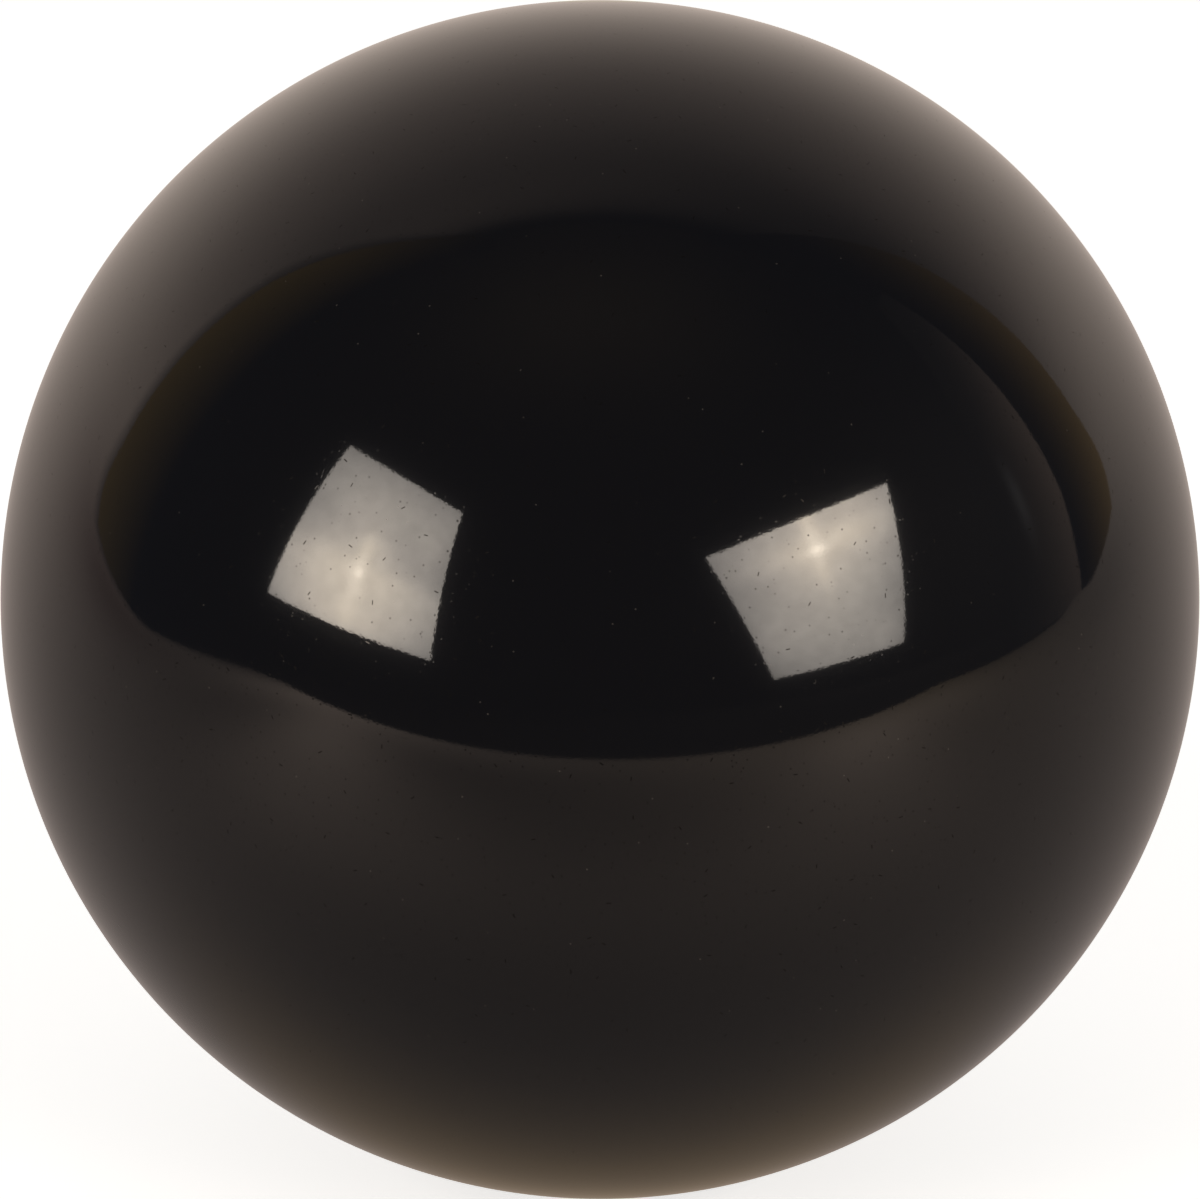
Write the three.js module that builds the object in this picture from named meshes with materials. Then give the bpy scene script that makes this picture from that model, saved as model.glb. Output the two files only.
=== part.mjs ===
// The black ball of a full-size snooker set.
//
// It is one solid sphere of cast phenolic resin, pigmented black all through, cured, ground
// round and polished. It has no seam, core, insert, spot or number, so it is one piece.
//
// Millimetres, +Z up. The origin is the ball's centre, which it rolls and spins about.

import * as THREE from "three";

// Driving dimensions
const BALL_DIAMETER = 52.5; // 2 1/16 inches, as the rules of the game give it
const DIAMETER_TOLERANCE = 0.05; // the rules let a ball be this much larger or smaller

// Finish: a black that leans a little to brown, polished until it mirrors
const RESIN_COLOUR = "#0d0b0a";
const RESIN_ROUGHNESS = 0.04;
const RESIN_METALNESS = 0;

const ballRadius = BALL_DIAMETER / 2;

// The ball is divided as a geodesic dome is. Each of an icosahedron's 20 faces is cut into
// small triangles, and their corners are pushed out onto the true sphere, so the facets are
// nearly alike all over and no pole gathers thin ones.
//
// A facet's corners lie on the true sphere, and its middle dips under it. The dip is on both
// sides of the ball, so half of the tolerance is what each side may lose.
const facetDip = DIAMETER_TOLERANCE / 2;

// An icosahedron whose corners are 1 from its centre: the length of its edges, and how far the
// middles of its faces are from its centre.
const goldenRatio = (1 + Math.sqrt(5)) / 2;
const icosahedronEdge = 2 / Math.sqrt(goldenRatio * Math.sqrt(5));
const icosahedronFaceDistance = (goldenRatio ** 2 * icosahedronEdge) / (2 * Math.sqrt(3));

// How many parts each edge of the icosahedron is cut into, for facets that dip that much at
// most. The widest ones lie over the middle of a face. Seen from the ball's centre, such a
// facet's corners are widestReach / parts radians from its middle.
// The count is even, which puts a corner at both ends of the X, Y and Z axes, so the ball
// measures exactly its diameter along each of them.
function edgeParts(radius, dip) {
  const widestReach = icosahedronEdge / Math.sqrt(3) / icosahedronFaceDistance;
  const reachThatDips = Math.acos(1 - dip / radius);
  return 2 * Math.ceil(widestReach / reachThatDips / 2);
}

// three.js counts the cuts along an edge, which are one fewer than its parts.
function makeBall() {
  const cuts = edgeParts(ballRadius, facetDip) - 1;
  const sphere = new THREE.IcosahedronGeometry(ballRadius, cuts);
  const blackResin = new THREE.MeshStandardMaterial({
    color: RESIN_COLOUR,
    roughness: RESIN_ROUGHNESS,
    metalness: RESIN_METALNESS,
  });
  const ball = new THREE.Mesh(sphere, blackResin);
  ball.name = "ball";
  return ball;
}

const snookerBall = new THREE.Group();
snookerBall.add(makeBall());

export default snookerBall;
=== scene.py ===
# %% [markdown]
# # The black ball of a snooker set
#
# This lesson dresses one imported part: a solid ball of black phenolic resin, 52.5 mm across. A ball
# this glossy has hardly any look of its own. What the eye reads as "polished black resin" is a deep
# black body, a mirror that is weak in the middle and strong at the rim, and the tiny faults that
# only show where the mirror holds something bright. So half of the lesson makes the ball, and the
# other half makes what the ball mirrors.
#
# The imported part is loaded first. It is the fixed frame: metres, Z up, the ball's centre at the
# origin. Nothing here moves or resizes it.

import math

import bpy
import numpy as np
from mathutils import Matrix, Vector


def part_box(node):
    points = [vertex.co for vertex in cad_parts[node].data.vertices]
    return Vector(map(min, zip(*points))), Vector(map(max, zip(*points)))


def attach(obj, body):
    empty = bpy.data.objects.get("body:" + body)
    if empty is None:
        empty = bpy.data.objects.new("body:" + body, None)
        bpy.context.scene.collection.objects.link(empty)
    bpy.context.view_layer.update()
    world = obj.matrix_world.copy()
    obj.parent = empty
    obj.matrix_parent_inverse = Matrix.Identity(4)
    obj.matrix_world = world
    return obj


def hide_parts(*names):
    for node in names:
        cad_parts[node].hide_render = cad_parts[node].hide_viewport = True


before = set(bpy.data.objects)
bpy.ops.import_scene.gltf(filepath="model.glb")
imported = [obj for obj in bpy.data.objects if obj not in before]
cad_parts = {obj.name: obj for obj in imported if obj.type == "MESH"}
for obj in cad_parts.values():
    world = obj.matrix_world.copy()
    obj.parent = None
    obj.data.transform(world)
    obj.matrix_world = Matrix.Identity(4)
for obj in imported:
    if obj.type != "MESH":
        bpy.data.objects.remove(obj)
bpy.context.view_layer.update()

# %% [markdown]
# Real sizes are easier to check in millimetres, so they are written as a number times MM.
# The ball's own size isn't typed in again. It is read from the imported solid.

# %% Read the ball's size from the frame
MM = 0.001
ball_low, ball_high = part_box("ball")
ball_radius = (ball_high.z - ball_low.z) / 2
table_height = ball_low.z
print(f"the ball is {2 * ball_radius / MM:.3f} mm across and stands at z = {table_height / MM:.3f} mm")

# %% [markdown]
# ## The camera
#
# In the photograph the ball fills the frame from edge to edge. How strongly it bends the edges that
# it mirrors says that the camera looked down at about 20 degrees from an arm's length away.
# The distance matters on a mirror, because it decides how much of the room fits into the ball.
# With the distance settled, the focal length follows from the frame that the ball has to fill.

# %% Place the camera
CAMERA_DISTANCE = 450 * MM
CAMERA_ELEVATION = math.radians(20)
NEAREST_SEEN = 10 * MM
SENSOR_WIDTH_MM = 36
FRAME_WIDTH_PX = 1200
BALL_WIDTH_PX = 1199

camera_data = bpy.data.cameras.new("camera")
camera = bpy.data.objects.new("camera", camera_data)
bpy.context.scene.collection.objects.link(camera)
bpy.context.scene.camera = camera

towards_camera = Vector((0, -math.cos(CAMERA_ELEVATION), math.sin(CAMERA_ELEVATION)))
camera.location = towards_camera * CAMERA_DISTANCE
camera.rotation_euler = (-towards_camera).to_track_quat("-Z", "Y").to_euler()

# The outline of a sphere is where the line of sight only grazes it. The lens is as long as it takes
# for that slope to reach from the sensor's middle to the ball's edge in the frame.
outline_slope = math.tan(math.asin(ball_radius / CAMERA_DISTANCE))
camera_data.sensor_width = SENSOR_WIDTH_MM
camera_data.lens = SENSOR_WIDTH_MM / 2 * BALL_WIDTH_PX / FRAME_WIDTH_PX / outline_slope
camera_data.clip_start = NEAREST_SEEN
bpy.context.scene.view_settings.view_transform = "Standard"
print(f"focal length {camera_data.lens:.1f} mm on a {SENSOR_WIDTH_MM} mm sensor")

# %% [markdown]
# ## The ball's form
#
# The real ball is cast a little too big in a mould, cured, and then ground between wheels until
# every diameter is alike to 0.05 mm. It has no pole, no seam and no flat.
#
# Blender's ready sphere gathers thin triangles at two poles, and a mirror shows every one of them.
# A better way is to start from a cube. Each of its six faces is a square grid, and every grid point
# is pushed out to the ball's radius. The grid lines are spaced by equal angles, seen from the
# centre, and not by equal lengths, so the squares in a face's middle and in its corners stay nearly
# the same size.

# %% Choose how fine the grid is
# A flat facet dips under the true sphere in its middle. Two micrometres is less than a twentieth of
# a pixel.
FACET_DIP = 0.002 * MM

# Half of a square's diagonal, h, dips by h * h / (2 * radius), which gives the square's angle.
square_angle = 2 * math.sqrt(FACET_DIP / ball_radius)
# The count is even, so that a grid point lies on both ends of each axis.
squares_per_side = 2 * math.ceil(math.pi / 2 / square_angle / 2)
print(f"{squares_per_side} squares along each side of a patch")


# %% Work out the six patches
CUBE_FACES = 6
# Points that agree to a nanometre, which is 9 decimals of a metre, are one point.
NANOMETRE = 1e-9
NANOMETRE_DECIMALS = 9


def cube_directions():
    """The cube's six faces: for each, the way it faces, and its grid's two directions.

    Right crossed with up gives outward, so squares that run right and then up face outward.
    """
    outward = np.concatenate([np.eye(3), -np.eye(3)])
    right = np.roll(outward, 1, axis=1)
    up = np.cross(outward, right)
    return outward, right, up


def ball_points(radius, squares):
    """The grid points of all six patches.

    A point at the angles a and b goes outward 1, right tan(a) and up tan(b), which is a point of
    the cube. Divided by its length and multiplied by the radius, it is a point of the sphere.
    """
    outward, right, up = cube_directions()
    slopes = np.tan(np.linspace(-np.pi / 4, np.pi / 4, squares + 1))
    across = slopes[None, :, None, None] * right[:, None, None, :]
    along = slopes[None, None, :, None] * up[:, None, None, :]
    points = outward[:, None, None, :] + across + along
    points /= np.linalg.norm(points, axis=-1, keepdims=True)
    return radius * points.reshape(-1, 3)


def grid_squares(columns, rows):
    """The corner numbers of every square of a grid: here, one right, one right and up, one up."""
    here = np.arange(columns)[:, None] * (rows + 1) + np.arange(rows)
    corners = np.stack([here, here + rows + 1, here + rows + 2, here + 1], axis=-1)
    return corners.reshape(-1, 4)


def ball_squares(squares):
    """The squares of all six patches. Each patch's numbers start where the last one's ended."""
    starts = np.arange(CUBE_FACES)[:, None, None] * (squares + 1) ** 2
    return (grid_squares(squares, squares) + starts).reshape(-1, 4)


def close_seams(points, faces):
    """Neighbouring patches hold the same points along their shared edges. Each is kept once."""
    rounded = np.round(points, NANOMETRE_DECIMALS)
    _, first, same = np.unique(rounded, axis=0, return_index=True, return_inverse=True)
    return points[first], same.reshape(-1)[faces]


patch_points = ball_points(ball_radius, squares_per_side)
points, faces = close_seams(patch_points, ball_squares(squares_per_side))
print(f"{len(patch_points)} grid points become {len(points)}, in {len(faces)} squares")


# %% Put the patches into a mesh
def add_mesh(name, points, faces):
    """Makes an object at the origin whose place is in its mesh."""
    mesh = bpy.data.meshes.new(name)
    mesh.from_pydata(points, [], faces)
    mesh.validate()
    mesh_object = bpy.data.objects.new(name, mesh)
    bpy.context.scene.collection.objects.link(mesh_object)
    return mesh_object


polished_ball = add_mesh("polished_ball", points, faces)
ball_mesh = polished_ball.data
ball_mesh.shade_smooth()
# On the true sphere the surface faces straight away from the centre. A mirror shows the least
# error in that direction, so it is given and not guessed from the facets.
ball_mesh.normals_split_custom_set_from_vertices(points / ball_radius)

# %% Measure the ball
radius_error = np.abs(np.linalg.norm(points, axis=1) - ball_radius).max()
print("largest error in radius, nanometres:", round(radius_error / NANOMETRE, 3))
print("closed, if this is 2:", len(points) - len(ball_mesh.edges) + len(faces))
print("triangles:", 2 * len(faces))

# %% [markdown]
# ## Colours and nodes
#
# Colours are written as they would be picked on a screen, as sRGB hex. Blender's shaders count in
# linear light, so one function turns the one into the other. A second small function adds a node,
# sets its options and links its inputs, so that a material reads from top to bottom. A third starts
# an empty material.


# %% Three small helpers
def linear(hex_colour):
    """The linear red, green, blue and alpha of an sRGB colour such as "#0d0b0a".

    Each is a straight line near black, and a power of 2.4 above it, as the sRGB standard has it.
    """
    srgb = np.array([int(hex_colour[i : i + 2], 16) for i in (1, 3, 5)]) / 255
    rgb = np.where(srgb <= 0.04045, srgb / 12.92, ((srgb + 0.055) / 1.055) ** 2.4)
    return (*rgb.tolist(), 1.0)


def add_node(tree, kind, inputs=None, **options):
    """Adds a node. inputs holds, by the input's name or number, a value or what is linked to it.

    What is linked is another node's output, or the node itself, which stands for its first one.
    """
    node = tree.nodes.new("ShaderNode" + kind)
    for option, value in options.items():
        setattr(node, option, value)
    for key, value in (inputs or {}).items():
        if isinstance(value, bpy.types.Node):
            value = value.outputs[0]
        if isinstance(value, bpy.types.NodeSocket):
            tree.links.new(value, node.inputs[key])
        else:
            node.inputs[key].default_value = value
    return node


def new_material(name):
    """An empty material and its node tree."""
    material = bpy.data.materials.new(name)
    material.use_nodes = True
    material.node_tree.nodes.clear()
    return material, material.node_tree


WHITE = linear("#ffffff")
# A Mix node set to colours keeps its colour inputs and its colour output at these numbers.
COLOUR_A, COLOUR_B, MIXED_COLOUR = 6, 7, 2
print("#0d0b0a in linear light:", [round(x, 4) for x in linear("#0d0b0a")])

# %% [markdown]
# ## The resin
#
# The ball is cast phenolic resin, which is a clear, hard, amber-coloured plastic, filled with
# minerals for weight and with carbon black all through. What that gives the eye:
#
# - the body sends back about three thousandths of the light, and leans a little to brown;
# - the surface bends light by 1.63, which makes its mirror stronger than that of most plastics;
# - grinding and polishing leave it nearly as smooth as glass;
# - hands leave a trace of grease, which puts a faint haze round each bright reflection.
#
# A number that is the same all over, such as the haze, is set on the shader. What changes from
# place to place is drawn by nodes that read the ball's own coordinates.

# %% Values of the finish
RESIN_IOR = 1.63
RESIN_BLACK = linear("#0c0a09")
RESIN_BLACK_PALER = linear("#0e0c0b")
CLOUD_SIZE = 9 * MM
CLOUD_DETAIL = 3

# Phenolic balls are polished to a roughness near 0.03. Handled patches are a little duller.
POLISH_ROUGHNESS = 0.03
HANDLED_ROUGHNESS = 0.045
HANDLED_PATCH_SIZE = 14 * MM
HANDLED_PATCH_DETAIL = 4
HANDLED_PATCH_RANGE = (0.4, 0.7)

# The haze is a thin coat: how much of it there is, and how widely it scatters.
HAZE_WEIGHT = 0.07
HAZE_ROUGHNESS = 0.16

# %% [markdown]
# ### Its faults
#
# They are too small to change the outline: pits where the polish opened a bubble or a grain of
# filler, short knocks from other balls, longer hairlines from the cloth, and a little dust. Space is
# filled with random points, one to a cell, and each point near the surface carries one fault.
#
# Pits and knocks are dark, because light that goes into a hole doesn't come out again, so they
# weaken the mirror; that shade of the hole is painted on as a weaker mirror. They are also sunk,
# which turns their rims towards other lamps. Hairlines are smooth grooves, so they only bend the
# mirror.

# %% Real sizes of the faults
# Real pits are 5 to 20 micrometres across, too fine to show. They are drawn 110 micrometres across.
PIT_SPACING = 0.36 * MM
PIT_RADIUS = 0.055 * MM

# Each kind of line: how far apart, how wide and how long the lines are. Real ones are 5 to 20
# micrometres wide. So that they show, knocks are drawn 80 and hairlines 50 micrometres wide.
KNOCKS = (2.6 * MM, 0.08 * MM, 0.24 * MM)
HAIRLINES = (2.0 * MM, 0.05 * MM, 0.7 * MM)

# How deep pits and knocks are, and how deep hairlines are: some tenths of a micrometre.
MARK_DEPTH = 0.0006 * MM
HAIRLINE_DEPTH = 0.0002 * MM

# The weave of the polishing mop leaves ripples of some tenths of a micrometre.
RIPPLE_SIZE = 0.13 * MM
RIPPLE_HEIGHT = 0.0004 * MM
RIPPLE_DETAIL = 1

# Inside a pit or a knock the resin is rough, and what is left of its mirror has this colour,
# which is painted shade of the hole.
MARK_ROUGHNESS = 0.3
MARK_SHADED_MIRROR = linear("#655d58")

# Real grains of dust are 10 to 50 micrometres across. They are drawn 100 micrometres across.
DUST_SPACING = 0.9 * MM
DUST_RADIUS = 0.05 * MM
DUST_GREY = linear("#4a4642")


# %% Round spots
def spot_share(tree, place, spacing, radius):
    """1 at a cell's point, and falling evenly to 0 at the spot's radius."""
    cells = add_node(tree, "TexVoronoi", {"Vector": place, "Scale": 1 / spacing})
    ends = {"From Min": 0, "From Max": radius / spacing, "To Min": 1, "To Max": 0}
    return add_node(tree, "MapRange", {"Value": cells.outputs["Distance"], **ends})


# %% Straight lines that lie in the surface
# A random colour less middle grey is a way that may point to any side.
MIDDLE_GREY = (0.5, 0.5, 0.5)


def line_share(tree, place, outward, spacing, width, length):
    """1 in the middle of a line, and falling softly to 0 at its sides and its ends.

    Each cell holds one line, which runs through the cell's point. Its sideways direction is the
    outward one crossed with the cell's random way, so it lies in the surface. The way from the
    point to here, measured along that direction, is how far here lies beside the line.
    """
    cells = add_node(tree, "TexVoronoi", {"Vector": place, "Scale": 1 / spacing})
    from_point = add_node(
        tree, "VectorMath", {0: place, 1: cells.outputs["Position"]}, operation="SUBTRACT"
    )
    random_way = add_node(
        tree, "VectorMath", {0: cells.outputs["Color"], 1: MIDDLE_GREY}, operation="SUBTRACT"
    )
    sideways = add_node(tree, "VectorMath", {0: outward, 1: random_way}, operation="CROSS_PRODUCT")
    sideways = add_node(tree, "VectorMath", {0: sideways}, operation="NORMALIZE")
    lengthways = add_node(tree, "VectorMath", {0: outward, 1: sideways}, operation="CROSS_PRODUCT")
    shares = []
    for direction, fades_from, fades_to in (
        (sideways, 0, width / 2),
        (lengthways, length / 4, length / 2),
    ):
        along = add_node(tree, "VectorMath", {0: from_point, 1: direction}, operation="DOT_PRODUCT")
        distance = add_node(tree, "Math", {0: along.outputs["Value"]}, operation="ABSOLUTE")
        ends = {"From Min": fades_from, "From Max": fades_to, "To Min": 1, "To Max": 0}
        shares.append(
            add_node(tree, "MapRange", {"Value": distance, **ends}, interpolation_type="SMOOTHSTEP")
        )
    return add_node(tree, "Math", {0: shares[0], 1: shares[1]}, operation="MULTIPLY")


# %% The resin's material
def make_resin():
    """Cast phenolic resin, ground and polished: black, deep and hard, with a mirror's gloss."""
    material, tree = new_material("cast_phenolic_resin_ground_and_polished")
    place = add_node(tree, "TexCoord").outputs["Object"]
    outward = add_node(tree, "VectorMath", {0: place}, operation="NORMALIZE")

    # The pigment is stirred in, so the black has faint clouds. Dust is paler and lies on top.
    clouds = add_node(
        tree, "TexNoise", {"Vector": place, "Scale": 1 / CLOUD_SIZE, "Detail": CLOUD_DETAIL}
    )
    pigment = add_node(
        tree,
        "Mix",
        {"Factor": clouds, COLOUR_A: RESIN_BLACK, COLOUR_B: RESIN_BLACK_PALER},
        data_type="RGBA",
    )
    dust = spot_share(tree, place, DUST_SPACING, DUST_RADIUS)
    colour = add_node(
        tree,
        "Mix",
        {"Factor": dust, COLOUR_A: pigment.outputs[MIXED_COLOUR], COLOUR_B: DUST_GREY},
        data_type="RGBA",
    )

    # Pits and knocks weaken the mirror with painted shade and are rough inside.
    pits = spot_share(tree, place, PIT_SPACING, PIT_RADIUS)
    knocks = line_share(tree, place, outward, *KNOCKS)
    marks = add_node(tree, "Math", {0: pits, 1: knocks}, operation="MAXIMUM")
    mirror = add_node(
        tree,
        "Mix",
        {"Factor": marks, COLOUR_A: WHITE, COLOUR_B: MARK_SHADED_MIRROR},
        data_type="RGBA",
    )

    # Fingers and cloth dull the polish in wide soft patches.
    patches = add_node(
        tree,
        "TexNoise",
        {"Vector": place, "Scale": 1 / HANDLED_PATCH_SIZE, "Detail": HANDLED_PATCH_DETAIL},
    )
    polish = add_node(
        tree,
        "MapRange",
        {
            "Value": patches,
            "From Min": HANDLED_PATCH_RANGE[0],
            "From Max": HANDLED_PATCH_RANGE[1],
            "To Min": POLISH_ROUGHNESS,
            "To Max": HANDLED_ROUGHNESS,
        },
    )
    roughness = add_node(
        tree, "MapRange", {"Value": marks, "To Min": polish, "To Max": MARK_ROUGHNESS}
    )

    # Heights are true heights in metres, so the bump's own distance is 1. Each kind of relief is
    # its share times its height, added to the ones before.
    hairlines = line_share(tree, place, outward, *HAIRLINES)
    ripples = add_node(
        tree, "TexNoise", {"Vector": place, "Scale": 1 / RIPPLE_SIZE, "Detail": RIPPLE_DETAIL}
    )
    height = 0
    for share, full_height in (
        (hairlines, -HAIRLINE_DEPTH),
        (marks, -MARK_DEPTH),
        (ripples, RIPPLE_HEIGHT),
    ):
        height = add_node(
            tree, "Math", {0: share, 1: full_height, 2: height}, operation="MULTIPLY_ADD"
        )
    relief = add_node(tree, "Bump", {"Height": height, "Strength": 1, "Distance": 1})

    shader = add_node(
        tree,
        "BsdfPrincipled",
        {
            "Base Color": colour.outputs[MIXED_COLOUR],
            "Specular Tint": mirror.outputs[MIXED_COLOUR],
            "Roughness": roughness,
            "Metallic": 0,
            "IOR": RESIN_IOR,
            "Normal": relief,
            "Coat Weight": HAZE_WEIGHT,
            "Coat Roughness": HAZE_ROUGHNESS,
        },
    )
    add_node(tree, "OutputMaterial", {"Surface": shader})
    return material


resin = make_resin()
ball_mesh.materials.append(resin)
print(resin.name, "has", len(resin.node_tree.nodes), "nodes")

# %% [markdown]
# ## The ball takes its place
#
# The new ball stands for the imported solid, which stays for the physics. It has one body, because
# nothing on a ball moves against anything else on it.

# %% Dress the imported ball
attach(polished_ball, "root")
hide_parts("ball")

# %% [markdown]
# ## The white ground
#
# The ball stands on plain white, which is a white floor and a white world. Both are white to the
# camera and to anything that mirrors them. The floor glows by itself with most of its white, and the
# lamps add the rest, so that it keeps the ball's soft shadow. To soft light the world is only a
# plain level that fills the shade, so that the ball is lit from all sides.

# %% Values of the floor and the room
FLOOR_HALF_SIZE = 3000 * MM
# The floor's own glow, how much of the lamps' light it adds to that, its paint as soft light meets
# it, and the world's level for soft light.
FLOOR_OWN_WHITE = 0.68
FLOOR_LIT_WHITE = 0.9
FLOOR_PALE = linear("#d9d6d2")
SOFT_LEVEL = 0.25

# What the ball mirrors of the unlit part of the room is a little bluish light.
ROOM_LIGHT = np.array(linear("#323946")[:3])


# %% Helper: what the camera sees, alone or in a mirror
def seen_or_mirrored(tree):
    """1 for a ray from the camera, off a gloss or through glass, and 0 for soft light."""
    ray = add_node(tree, "LightPath").outputs
    mirrored = add_node(
        tree, "Math", {0: ray["Is Glossy Ray"], 1: ray["Is Transmission Ray"]}, operation="MAXIMUM"
    )
    return add_node(tree, "Math", {0: ray["Is Camera Ray"], 1: mirrored}, operation="MAXIMUM")


# %% The white floor
def level_square(half_size, height, squares):
    """A level square round the ball's axis: a point at every pair of even steps."""
    side = np.linspace(-half_size, half_size, squares + 1)
    x, y = np.meshgrid(side, side, indexing="ij")
    points = np.stack([x, y, np.full(x.shape, height)], axis=-1)
    return points.reshape(-1, 3), grid_squares(squares, squares)


def make_floor():
    """White floor paint. To soft light it doesn't glow. It is only a pale paint, which passes on to
    the ball what the lamps and the world throw on it."""
    material, tree = new_material("white_floor")
    own = add_node(tree, "Emission", {"Strength": FLOOR_OWN_WHITE})
    lit = add_node(tree, "BsdfDiffuse", {"Color": (*[FLOOR_LIT_WHITE] * 3, 1)})
    white = add_node(tree, "AddShader", {0: own, 1: lit})
    pale = add_node(tree, "BsdfDiffuse", {"Color": FLOOR_PALE})
    surface = add_node(tree, "MixShader", {0: seen_or_mirrored(tree), 1: pale, 2: white})
    add_node(tree, "OutputMaterial", {"Surface": surface})
    return material


floor = add_mesh("floor", *level_square(FLOOR_HALF_SIZE, table_height, 1))
floor.data.materials.append(make_floor())
print(f"the floor is {2 * FLOOR_HALF_SIZE:.0f} m wide and lies at z = {table_height / MM:.2f} mm")

# %% The white world
world = bpy.data.worlds.new("white_room")
bpy.context.scene.world = world
world.use_nodes = True
world.node_tree.nodes.clear()
white = add_node(world.node_tree, "Background", {"Color": WHITE, "Strength": 1})
soft = add_node(world.node_tree, "Background", {"Color": WHITE, "Strength": SOFT_LEVEL})
surface = add_node(
    world.node_tree, "MixShader", {0: seen_or_mirrored(world.node_tree), 1: soft, 2: white}
)
add_node(world.node_tree, "OutputWorld", {"Surface": surface})
print("the world is white to the camera and a level of", SOFT_LEVEL, "to soft light")

# %% [markdown]
# ## The studio that the ball mirrors
#
# A black ball is a picture of its studio. This one has a dark room, a sheet of pale paper that lies
# under the ball and sweeps up behind it, cards at its sides, and two softboxes in front. These
# pieces stand between the ball and the white ground, and the camera doesn't see them. So the camera
# sees white, and the ball mirrors the dark studio.
#
# Each piece glows as brightly as the lamps would make it look from the ball. The glow is worked out
# at the points of a grid and kept on the mesh, as a level plus a few soft spots. That keeps the
# reflection free of grain, and the numbers can be read as what they are: pools of light.


# %% Helpers: pools of light
def pool_share(points, middle, reach, turned=0):
    """How strongly a soft pool of light shines at the points. It is 1 in the pool's middle.

    It is e to the power of minus the square of the distance from the middle. Along each of the
    pool's axes the distance is counted in the pool's reach. The first two axes are turned by the
    given degrees. Middle and reach are in mm.
    """
    away = points / MM - np.array(middle)
    turn = np.radians(turned)
    lengthways = away[:, 0] * np.cos(turn) + away[:, 1] * np.sin(turn)
    sideways = away[:, 1] * np.cos(turn) - away[:, 0] * np.sin(turn)
    away = np.column_stack([lengthways, sideways, away[:, 2:]]) / np.array(reach)
    return np.exp(-(away**2).sum(axis=1))


def pools_of_light(points, pools):
    """The light that named pools add up to. Each is a middle, a reach, a turn, a brightness and a
    colour, and sends out its share times its brightness times its colour."""
    light = np.zeros((len(points), 3))
    for middle, reach, turned, brightness, colour in pools.values():
        light += np.outer(brightness * pool_share(points, middle, reach, turned), colour[:3])
    return light


# %% Helpers: panels and glowing pieces
def along_edge(edge, count):
    """Points of an edge at even steps of height, straight between its given points."""
    edge = np.array(edge, dtype=float)
    heights = edge[:, 2]
    steps = np.linspace(heights[0], heights[-1], count + 1)
    return np.stack([np.interp(steps, heights, values) for values in edge.T], axis=1)


def panel(left_edge, right_edge, columns, rows):
    """The points of a grid stretched straight between two edges, given from the bottom up.

    Also gives how far each point is from the left edge to the right one, as a share.
    """
    left, right = along_edge(left_edge, rows), along_edge(right_edge, rows)
    across = np.linspace(0, 1, columns + 1)[:, None, None]
    points = left + across * (right - left)
    return points.reshape(-1, 3), np.repeat(across, rows + 1)


def add_glowing_piece(name, points, faces, glow):
    """A piece of the stage that sends out the light in glow: a red, green and blue per point.

    The camera doesn't see it. It comes with the node that sends the light out.
    """
    piece = add_mesh(name, points, faces)
    colours = piece.data.color_attributes.new(name="glow", type="FLOAT_COLOR", domain="POINT")
    colours.data.foreach_set("color", np.column_stack([glow, np.ones(len(points))]).ravel())
    material, tree = new_material(name)
    kept_glow = add_node(tree, "Attribute", attribute_name="glow")
    light = add_node(tree, "Emission", {"Color": kept_glow, "Strength": 1})
    add_node(tree, "OutputMaterial", {"Surface": light})
    piece.data.materials.append(material)
    piece.visible_camera = False
    return piece, light


def keep_out_of_soft_light(piece):
    """Only a gloss sees the piece from now on. It lights nothing and throws no shadow."""
    piece.visible_diffuse = False
    piece.visible_shadow = False
    piece.active_material.cycles.emission_sampling = "NONE"


# %% [markdown]
# ### The softboxes
#
# Each lamp is a bulb behind a square of white cloth. The cloth glows all over, more strongly and
# more warmly near the bulb, and its weave draws the bulb's glow out into a faint cross. Where the
# squares stand comes from where the ball mirrors their corners.

# %% Sizes, places and glow of the softboxes
SOFTBOX_WIDTH = 270 * MM
SOFTBOX_HEIGHT = 285 * MM

# Each softbox: its middle in mm, the compass direction that it faces counted from +X towards +Y,
# how far it looks up and how far it is turned in its own plane, in degrees. Its cloth has a level
# all over, and pools of glow on that: where each is, in mm across and up from the middle, how far
# it reaches and how bright it is.
SOFTBOXES = {
    "left_softbox": {
        "middle": (-330, -313, 205),
        "faces": 36,
        "looks_up": 8,
        "turned": 5,
        "level": 0.8,
        "pools": {
            "lower half": ((10, -80), (175, 60), 6.8),
            "lower rim": ((10, -135), (110, 30), 3.7),
            "upper half": ((-30, 95), (350, 100), 2.8),
            "middle": ((20, 5), (115, 85), 3.0),
            "left of the middle": ((-100, 30), (35, 50), 1.0),
            "over the bulb": ((0, -10), (28, 22), 1.5),
            "upright arm of the cross": ((8, -65), (12, 60), 2.5),
            "level arm of the cross": ((-30, -52), (110, 14), 0.6),
            "bulb": ((8, -59), (7, 7), 3.0),
        },
    },
    "right_softbox": {
        "middle": (319, -333, 113),
        "faces": 135,
        "looks_up": -57,
        "turned": -3,
        "level": 1.6,
        "pools": {
            "upper half": ((0, 120), (120, 270), 4.6),
            "upper left corner": ((-90, 120), (75, 100), 2.3),
            "under the bulb": ((0, 65), (40, 32), 1.4),
            "lower right": ((100, -45), (50, 75), 0.9),
            "lower left": ((-95, -100), (45, 55), 1.0),
            "upright arm of the cross": ((-9, 140), (11, 92), 2.7),
            "level arm of the cross": ((-20, 100), (100, 21), 2.4),
            "bulb": ((-9, 94), (14, 7), 4.5),
        },
    },
}
GRID_STEP = 3 * MM

# The cloth is a little uneven, which shows as soft mottling.
CLOTH_CLOUD_SIZE = 25 * MM
CLOTH_CLOUDS = 0.06
CLOUD_RANGE = (0.3, 0.7)

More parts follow.
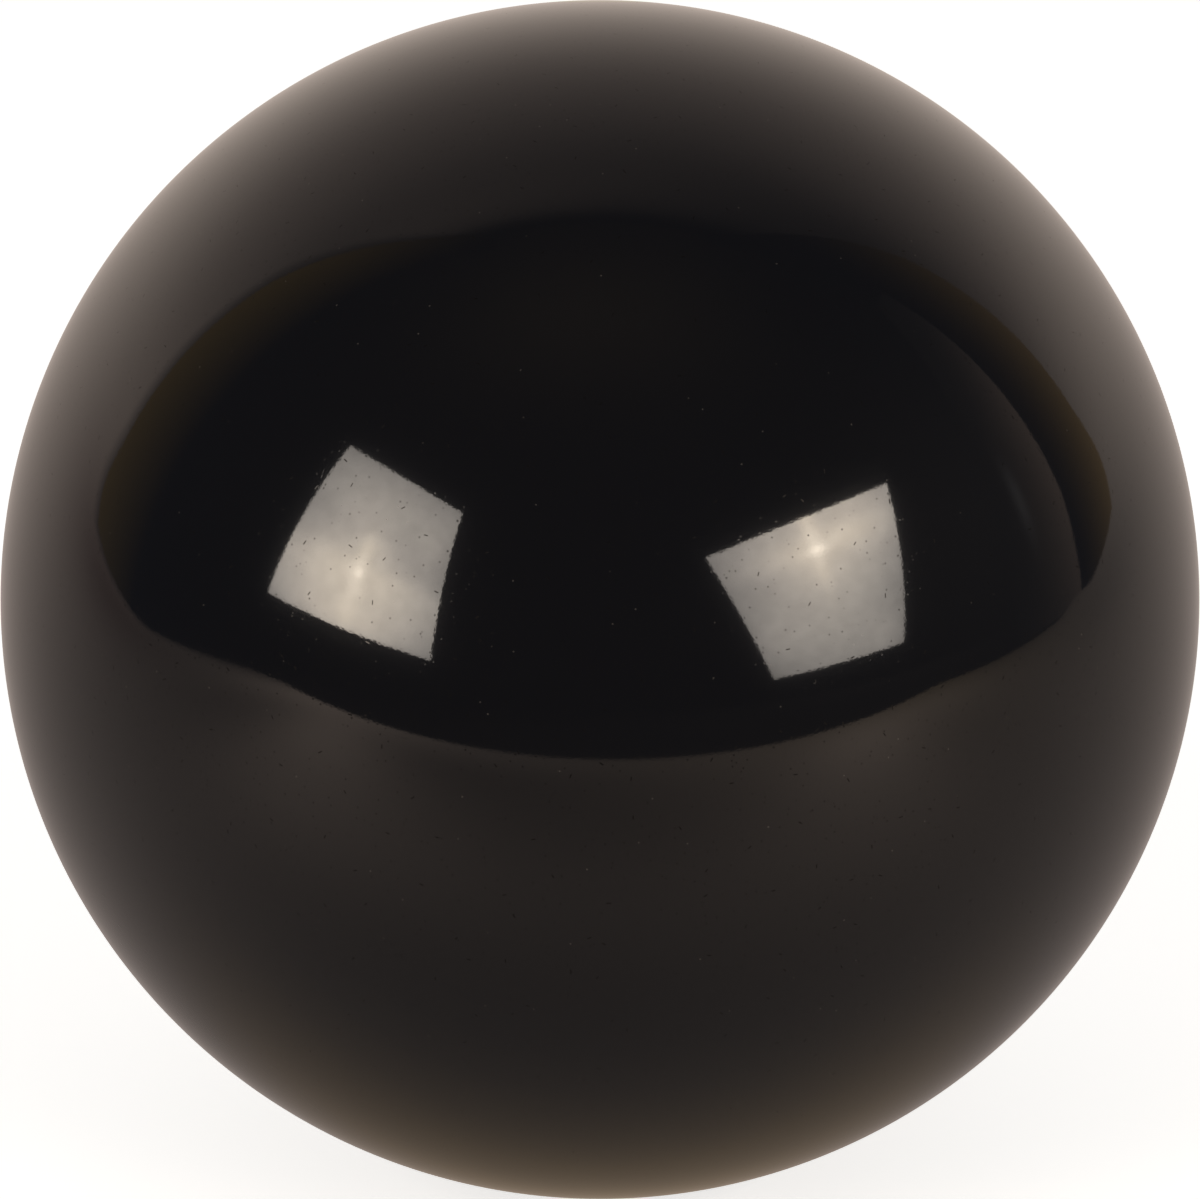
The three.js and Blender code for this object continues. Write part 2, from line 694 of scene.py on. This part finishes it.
# The cloth's light, far from the bulb and near it, and the brightness at which each is reached.
CLOTH_COOL = np.array(linear("#fff6ed")[:3])
CLOTH_WARM = np.array(linear("#fff0db")[:3])
COOL_BRIGHTNESS = 3.0
WARM_BRIGHTNESS = 9.0


# %% Stand the softboxes up
def softbox_edges(middle, faces, looks_up, turned):
    """The left and the right edge. Right and up are level and upright, and are then turned in the
    cloth's own plane."""
    compass, tilt, turn = np.radians([faces, looks_up, turned])
    facing = np.array([np.cos(tilt) * np.cos(compass), np.cos(tilt) * np.sin(compass), np.sin(tilt)])
    level = np.array([-np.sin(compass), np.cos(compass), 0])
    upright = np.cross(facing, level)
    right = np.cos(turn) * level + np.sin(turn) * upright
    up = np.cross(facing, right)
    half_up = SOFTBOX_HEIGHT / 2 * up
    half_across = SOFTBOX_WIDTH / 2 * right
    middle = np.array(middle) * MM
    left_edge = [middle - half_across - half_up, middle - half_across + half_up]
    right_edge = [middle + half_across - half_up, middle + half_across + half_up]
    return left_edge, right_edge, right, up


def mottle(piece, light):
    """Clouds in the cloth make its light a little stronger here and weaker there."""
    tree = piece.active_material.node_tree
    place = add_node(tree, "TexCoord").outputs["Object"]
    clouds = add_node(tree, "TexNoise", {"Vector": place, "Scale": 1 / CLOTH_CLOUD_SIZE})
    strength = add_node(
        tree,
        "MapRange",
        {
            "Value": clouds,
            "From Min": CLOUD_RANGE[0],
            "From Max": CLOUD_RANGE[1],
            "To Min": 1 - CLOTH_CLOUDS,
            "To Max": 1 + CLOTH_CLOUDS,
        },
    )
    tree.links.new(strength.outputs[0], light.inputs["Strength"])


for name, box in SOFTBOXES.items():
    columns, rows = round(SOFTBOX_WIDTH / GRID_STEP), round(SOFTBOX_HEIGHT / GRID_STEP)
    left_edge, right_edge, right, up = softbox_edges(
        box["middle"], box["faces"], box["looks_up"], box["turned"]
    )
    cloth_points, _ = panel(left_edge, right_edge, columns, rows)
    from_middle = cloth_points - np.array(box["middle"]) * MM
    on_cloth = np.column_stack([from_middle @ right, from_middle @ up])
    brightness = np.full(len(cloth_points), box["level"])
    for middle, reach, strength in box["pools"].values():
        brightness += strength * pool_share(on_cloth, middle, reach)
    warmth = np.clip((brightness - COOL_BRIGHTNESS) / (WARM_BRIGHTNESS - COOL_BRIGHTNESS), 0, 1)
    glow = brightness[:, None] * (CLOTH_COOL + warmth[:, None] * (CLOTH_WARM - CLOTH_COOL))
    mottle(*add_glowing_piece(name, cloth_points, grid_squares(columns, rows), glow))
    print(name, "mean brightness", round(brightness.mean(), 2), "peak", round(brightness.max(), 1))

# %% [markdown]
# ### The paper
#
# The paper lies flat under the ball, bends up behind it and goes on upright. It is one sheet, so it
# is one grid. The flat part is stretched between its four edges. Its sides and its front left
# corner are straight cuts, and its front edge bows a little towards the ball. The bend is a quarter
# of an ellipse, and the sheet is drawn in at both sides where it bends.

# %% Edges of the paper
# Millimetres right of the ball and behind it.
LEFT_CORNER = (-510, -210)
FRONT_LEFT = (-420, -250)
FRONT_MIDDLE = (5, -192)
FRONT_RIGHT = (312, -162)
BACK_LEFT = (-360, 0)
BACK_RIGHT = (370, 0)
BEND_DEPTH = 134
BEND_HEIGHT = 72

# How high over the table, and where the paper's left and right edges are there.
SIDES_BY_HEIGHT = np.array([
    (0, -360, 370),
    (6, -370, 385),
    (12, -355, 305),
    (32, -298, 243),
    (85, -320, 270),
    (300, -315, 275),
    (1450, -470, 440),
])
PAPER_TOP = 1450
PAPER_CLEARANCE = 0.1 * MM

COLUMNS = 120
FLAT_ROWS = 45
BEND_ROWS = 24
UPRIGHT_ROWS = 60


# %% Work out the paper's grid
def flat_part(front, back, left, right):
    """A surface stretched between four edges: the mix of front and back, plus the mix of left and
    right, less the mix of the corners, which would count twice otherwise."""
    s = np.linspace(0, 1, len(front))[:, None, None]
    t = np.linspace(0, 1, len(left))[None, :, None]
    between = (1 - t) * front[:, None] + t * back[:, None]
    across = (1 - s) * left[None] + s * right[None]
    near_corners = (1 - s) * front[0] + s * front[-1]
    far_corners = (1 - s) * back[0] + s * back[-1]
    return between + across - ((1 - t) * near_corners + t * far_corners)


def bowed_edge(start, middle, end, across):
    """How far behind the ball the bowed edge is, at the places across. It is the parabola through
    three points: a constant, plus a slope times the place, plus a bow times the place squared."""
    places, depths = np.array([start, middle, end], dtype=float).T
    bow, slope, constant = np.polyfit(places, depths, 2)
    return constant + slope * across + bow * across**2


front_x = np.linspace(LEFT_CORNER[0], FRONT_RIGHT[0], COLUMNS + 1)
bowed = bowed_edge(FRONT_LEFT, FRONT_MIDDLE, FRONT_RIGHT, front_x)
cut_corner = np.interp(front_x, *zip(LEFT_CORNER, FRONT_LEFT))
front = np.column_stack([front_x, np.where(front_x < FRONT_LEFT[0], cut_corner, bowed)])
left = np.linspace(LEFT_CORNER, BACK_LEFT, FLAT_ROWS + 1)
right = np.linspace(FRONT_RIGHT, BACK_RIGHT, FLAT_ROWS + 1)
back = np.linspace(BACK_LEFT, BACK_RIGHT, COLUMNS + 1)
flat = flat_part(front, back, left, right)
flat = np.concatenate([flat, np.zeros((*flat.shape[:2], 1))], axis=2)

angle = np.linspace(0, np.pi / 2, BEND_ROWS + 1)[1:]
heights = np.linspace(BEND_HEIGHT, PAPER_TOP, UPRIGHT_ROWS + 1)[1:]
heights = np.concatenate([BEND_HEIGHT * (1 - np.cos(angle)), heights])
depths = np.concatenate([BEND_DEPTH * np.sin(angle), np.full(UPRIGHT_ROWS, BEND_DEPTH)])
left_limit = np.interp(heights, SIDES_BY_HEIGHT[:, 0], SIDES_BY_HEIGHT[:, 1])
right_limit = np.interp(heights, SIDES_BY_HEIGHT[:, 0], SIDES_BY_HEIGHT[:, 2])
share = np.linspace(0, 1, COLUMNS + 1)[:, None]
risen_x = left_limit + share * (right_limit - left_limit)
risen = np.stack([risen_x, *np.broadcast_arrays(depths, heights, risen_x)[:2]], axis=2)

paper_grid = np.concatenate([flat, risen], axis=1) * MM
paper_grid[:, :, 2] += table_height + PAPER_CLEARANCE
paper_points = paper_grid.reshape(-1, 3)
print("the paper has", len(paper_points), "points and reaches", PAPER_TOP, "mm up")

# %% [markdown]
# The lamps' light on the paper is painted on as soft pools, and each lamp leaves a long painted sheen
# that points at it from the ball's foot. A pool is given in mm from the ball's centre: its middle, its
# reach, its turn in degrees, its brightness and its colour. A brightness below zero is a painted
# shade.
# The paper's front edge and left edge curl away from the lamps, so they darken over their last
# centimetres, and that shade is painted on too. High up, the painted light runs out slowly.

# %% Light up the paper
LAMP_LIGHT = linear("#ffe6d3")
PALE_LIGHT = linear("#fff0de")
WARM_LIGHT = linear("#ffdfaa")
AMBER_LIGHT = linear("#ffc400")
PAPER_POOLS = {
    "low on the upright": ((-60, 134, 35), (290, 135, 70), 0, 0.30, PALE_LIGHT),
    "wide on the upright": ((-600, 134, 10), (870, 145, 215), 0, 0.52, LAMP_LIGHT),
    "high on the upright": ((-400, 134, 450), (600, 500, 560), 0, 0.18, LAMP_LIGHT),
    "right of the bend": ((200, 134, -50), (150, 200, 220), 0, 0.24, LAMP_LIGHT),
    "shade left of the bend": ((-270, 134, -45), (150, 120, 100), 0, -0.50, PALE_LIGHT),
    "under the left lamp": ((-250, -290, -26), (150, 160, 60), 0, 0.80, LAMP_LIGHT),
    "under the right lamp": ((290, -290, -26), (205, 215, 60), 0, 0.28, WARM_LIGHT),
    "right of the ball": ((155, -125, -26), (120, 60, 60), 0, 0.30, LAMP_LIGHT),
    "shade right of the ball": ((200, 85, -26), (115, 85, 60), 0, -0.25, LAMP_LIGHT),
    "sheen of the left lamp": ((-115, -102, -26), (100, 35, 60), 40, 0.38, LAMP_LIGHT),
    "sheen of the right lamp": ((92, -90, -26), (85, 30, 60), -40, 0.24, LAMP_LIGHT),
    "front in the middle": ((0, -180, -26), (190, 40, 60), 0, 0.11, LAMP_LIGHT),
    "shade under the ball": ((-8, -28, -26), (55, 20, 60), 0, -0.15, LAMP_LIGHT),
    "shade round the ball's foot": ((0, -9, -26), (40, 12, 60), 0, -0.06, LAMP_LIGHT),
    "glow at the ball's foot": ((0, -11, -26), (24, 9, 60), 0, 0.13, AMBER_LIGHT),
}
# As shares of the way from the front edge to the bend, and from the left edge to the right.
FRONT_FADE = 0.06
LEFT_FADE = 0.06
# What is left of the light at the very left edge, and how high up the paper it starts to run out.
LEFT_EDGE_LIGHT = 0.35
TOP_FADE_FROM = 900

paper_rows = FLAT_ROWS + BEND_ROWS + UPRIGHT_ROWS
from_front = np.clip(np.arange(paper_rows + 1) / FLAT_ROWS / FRONT_FADE, 0, 1)
from_left = np.clip(np.arange(COLUMNS + 1) / COLUMNS / LEFT_FADE, 0, 1)
fade = np.outer(LEFT_EDGE_LIGHT + (1 - LEFT_EDGE_LIGHT) * from_left, from_front).ravel()
height_on_paper = (paper_points[:, 2] - table_height) / MM
fade *= np.interp(height_on_paper, [TOP_FADE_FROM, PAPER_TOP], [1, 0])
glow = ROOM_LIGHT + fade[:, None] * pools_of_light(paper_points, PAPER_POOLS)
paper, _ = add_glowing_piece("paper_sweep", paper_points, grid_squares(COLUMNS, paper_rows), glow)
keep_out_of_soft_light(paper)
print("paper brightness from", glow.min().round(3), "to", glow.max().round(3))

# %% [markdown]
# ### Cards at the sides
#
# Brown cards stand at both sides of the paper, and a curled pale one leans at the right. The ball
# shows them as narrow strips near its left and right rims.

# %% Stand the cards up
# Each card: the edge that is nearer to the camera and the one that is farther, in mm from the bottom
# up, its brightness and its colour, how fast the light grows from the near edge to the far one, the
# height at which it is strongest, how far it reaches, and its pools. The curled card turns towards
# the lamps in one place, where it catches a streak of their light.
CARDS = {
    "left_card": {
        "near_edge": [(-400, 45, -26), (-400, 45, 1400)],
        "far_edge": [(-370, 210, -26), (-370, 210, 1400)],
        "brightness": 0.25,
        "colour": linear("#ffcf68"),
        "growth": 1,
        "strongest_at": 215,
        "reach_up": 585,
        "pools": {},
    },
    "right_card": {
        "near_edge": [(408, 80, -26), (408, 80, 1400)],
        "far_edge": [(330, 200, -26), (330, 200, 1400)],
        "brightness": 0.38,
        "colour": linear("#ffcf80"),
        "growth": 1.8,
        "strongest_at": 25,
        "reach_up": 350,
        "pools": {},
    },
    "curled_card": {
        "near_edge": [(400, -50, -26), (400, -32, 100), (400, -24, 165), (400, 55, 430)],
        "far_edge": [(400, 78, -26), (400, 98, 100), (400, 106, 165), (400, 185, 430)],
        "brightness": 0.28,
        "colour": linear("#ffddc4"),
        "growth": 2.1,
        "strongest_at": 140,
        "reach_up": 190,
        "pools": {
            "as the wall behind it": ((400, 0, 100), (400, 350, 400), 0, 0.033, PALE_LIGHT),
            "streak": ((400, 12, 98), (40, 9, 36), 0, 0.10, WHITE),
        },
    },
}
CARD_COLUMNS = 30
CARD_ROWS = 60

for name, card in CARDS.items():
    card_points, across = panel(card["near_edge"], card["far_edge"], CARD_COLUMNS, CARD_ROWS)
    away = (card_points[:, 2] - card["strongest_at"]) / card["reach_up"]
    card_points *= MM
    brightness = card["brightness"] * across ** card["growth"] * np.exp(-(away**2))
    glow = ROOM_LIGHT + np.outer(brightness, card["colour"][:3])
    glow += pools_of_light(card_points, card["pools"])
    piece, _ = add_glowing_piece(name, card_points, grid_squares(CARD_COLUMNS, CARD_ROWS), glow)
    keep_out_of_soft_light(piece)
    print(name, "brightest", glow.max().round(2))

# %% [markdown]
# ### The dark room
#
# Last come the table top and the room round it. They are dark, but for a faint light overhead and
# another at the right, on the wall and on the table. They hide the white world from the ball, as a
# real room would. The room is a round shell made of six patches, as the ball is.

# %% Close the room
ROOM_RADIUS = 1500 * MM
ROOM_SQUARES = 24
ROOM_POOLS = {
    "overhead": ((-60, -390, 1450), (650, 400, 400), 0, 0.042, WARM_LIGHT),
    "right wall": ((1420, -200, 400), (600, 700, 600), 0, 0.036, PALE_LIGHT),
}
TABLE_HALF_SIZE = 1600 * MM
TABLE_CLEARANCE = 0.05 * MM
TABLE_SQUARES = 64
TABLE_POOLS = {
    "right of the paper": ((900, -300, -26), (800, 700, 60), 0, 0.028, PALE_LIGHT),
}

dome_points, dome_faces = close_seams(
    ball_points(ROOM_RADIUS, ROOM_SQUARES), ball_squares(ROOM_SQUARES)
)
dome_glow = ROOM_LIGHT + pools_of_light(dome_points, ROOM_POOLS)
dome, _ = add_glowing_piece("dark_room", dome_points, dome_faces, dome_glow)
keep_out_of_soft_light(dome)

table_points, table_faces = level_square(
    TABLE_HALF_SIZE, table_height + TABLE_CLEARANCE, TABLE_SQUARES
)
table_glow = ROOM_LIGHT + pools_of_light(table_points, TABLE_POOLS)
table_top, _ = add_glowing_piece("dark_table_top", table_points, table_faces, table_glow)
keep_out_of_soft_light(table_top)
print("the room has", len(dome_faces), "squares and the table top", len(table_faces))
